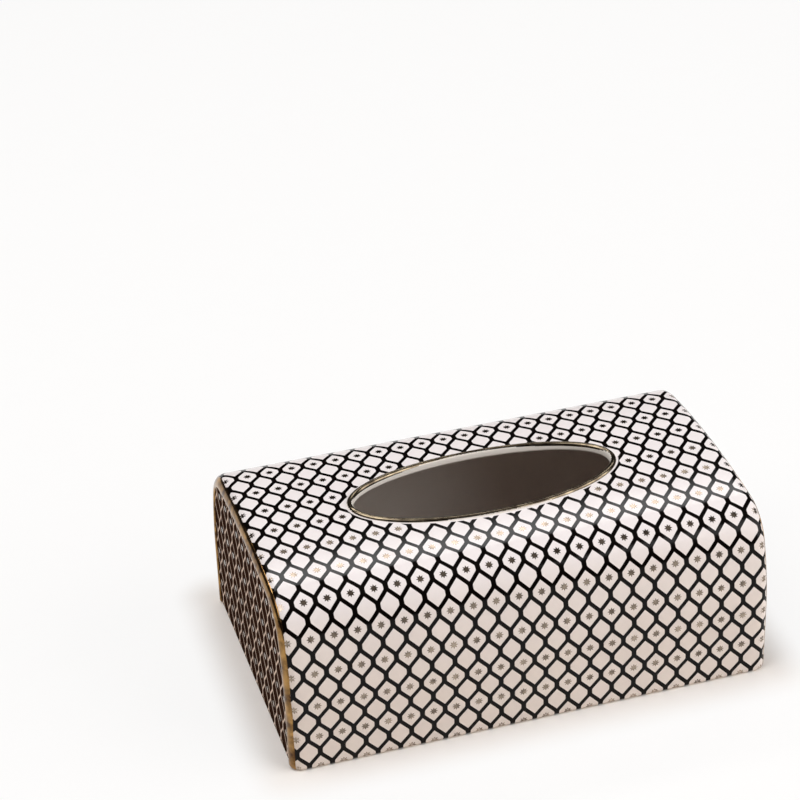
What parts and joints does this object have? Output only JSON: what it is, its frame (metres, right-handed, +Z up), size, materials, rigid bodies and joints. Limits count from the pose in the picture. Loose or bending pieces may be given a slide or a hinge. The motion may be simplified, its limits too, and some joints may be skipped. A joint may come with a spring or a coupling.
{
  "type": "tissue box",
  "caption": "Glazed ceramic tissue box: a loaf-shaped cover with an oval slot and recessed gilt-rimmed ends lifts off a lined magnetic base board.",
  "frame": {"origin": "on the table, under the middle of the box", "axes": "+X along the long side, +Y from the front to the back, +Z up"},
  "size_m": [0.24, 0.148, 0.0922],
  "materials": {
    "porcelain": "glossy clear glaze over a black trellis print",
    "gilding": "fired-on gold, polished, on rims, slot lip and stars",
    "board": "stained fibreboard",
    "flannel": "short brushed nap",
    "keeper_steel": "zinc-plated",
    "magnet_nickel": "nickel-plated",
    "pad_rubber": "matt"
  },
  "bodies": {
    "base": {"base_board": "board", "base_lining": "flannel", "magnet_front_left": "magnet_nickel", "magnet_front_right": "magnet_nickel", "magnet_back_left": "magnet_nickel", "magnet_back_right": "magnet_nickel", "foot_pad_front_left": "pad_rubber", "foot_pad_front_right": "pad_rubber", "foot_pad_back_left": "pad_rubber", "foot_pad_back_right": "pad_rubber"},
    "cover": {"ceramic_cover": "porcelain", "keeper_disc_front_left": "keeper_steel", "keeper_disc_front_right": "keeper_steel", "keeper_disc_back_left": "keeper_steel", "keeper_disc_back_right": "keeper_steel"}
  },
  "joints": [
    {"name": "cover_lift", "type": "slide", "parent": "base", "child": "cover", "axis": [0, 0, 1], "range_m": [0, 0.1]}
  ]
}
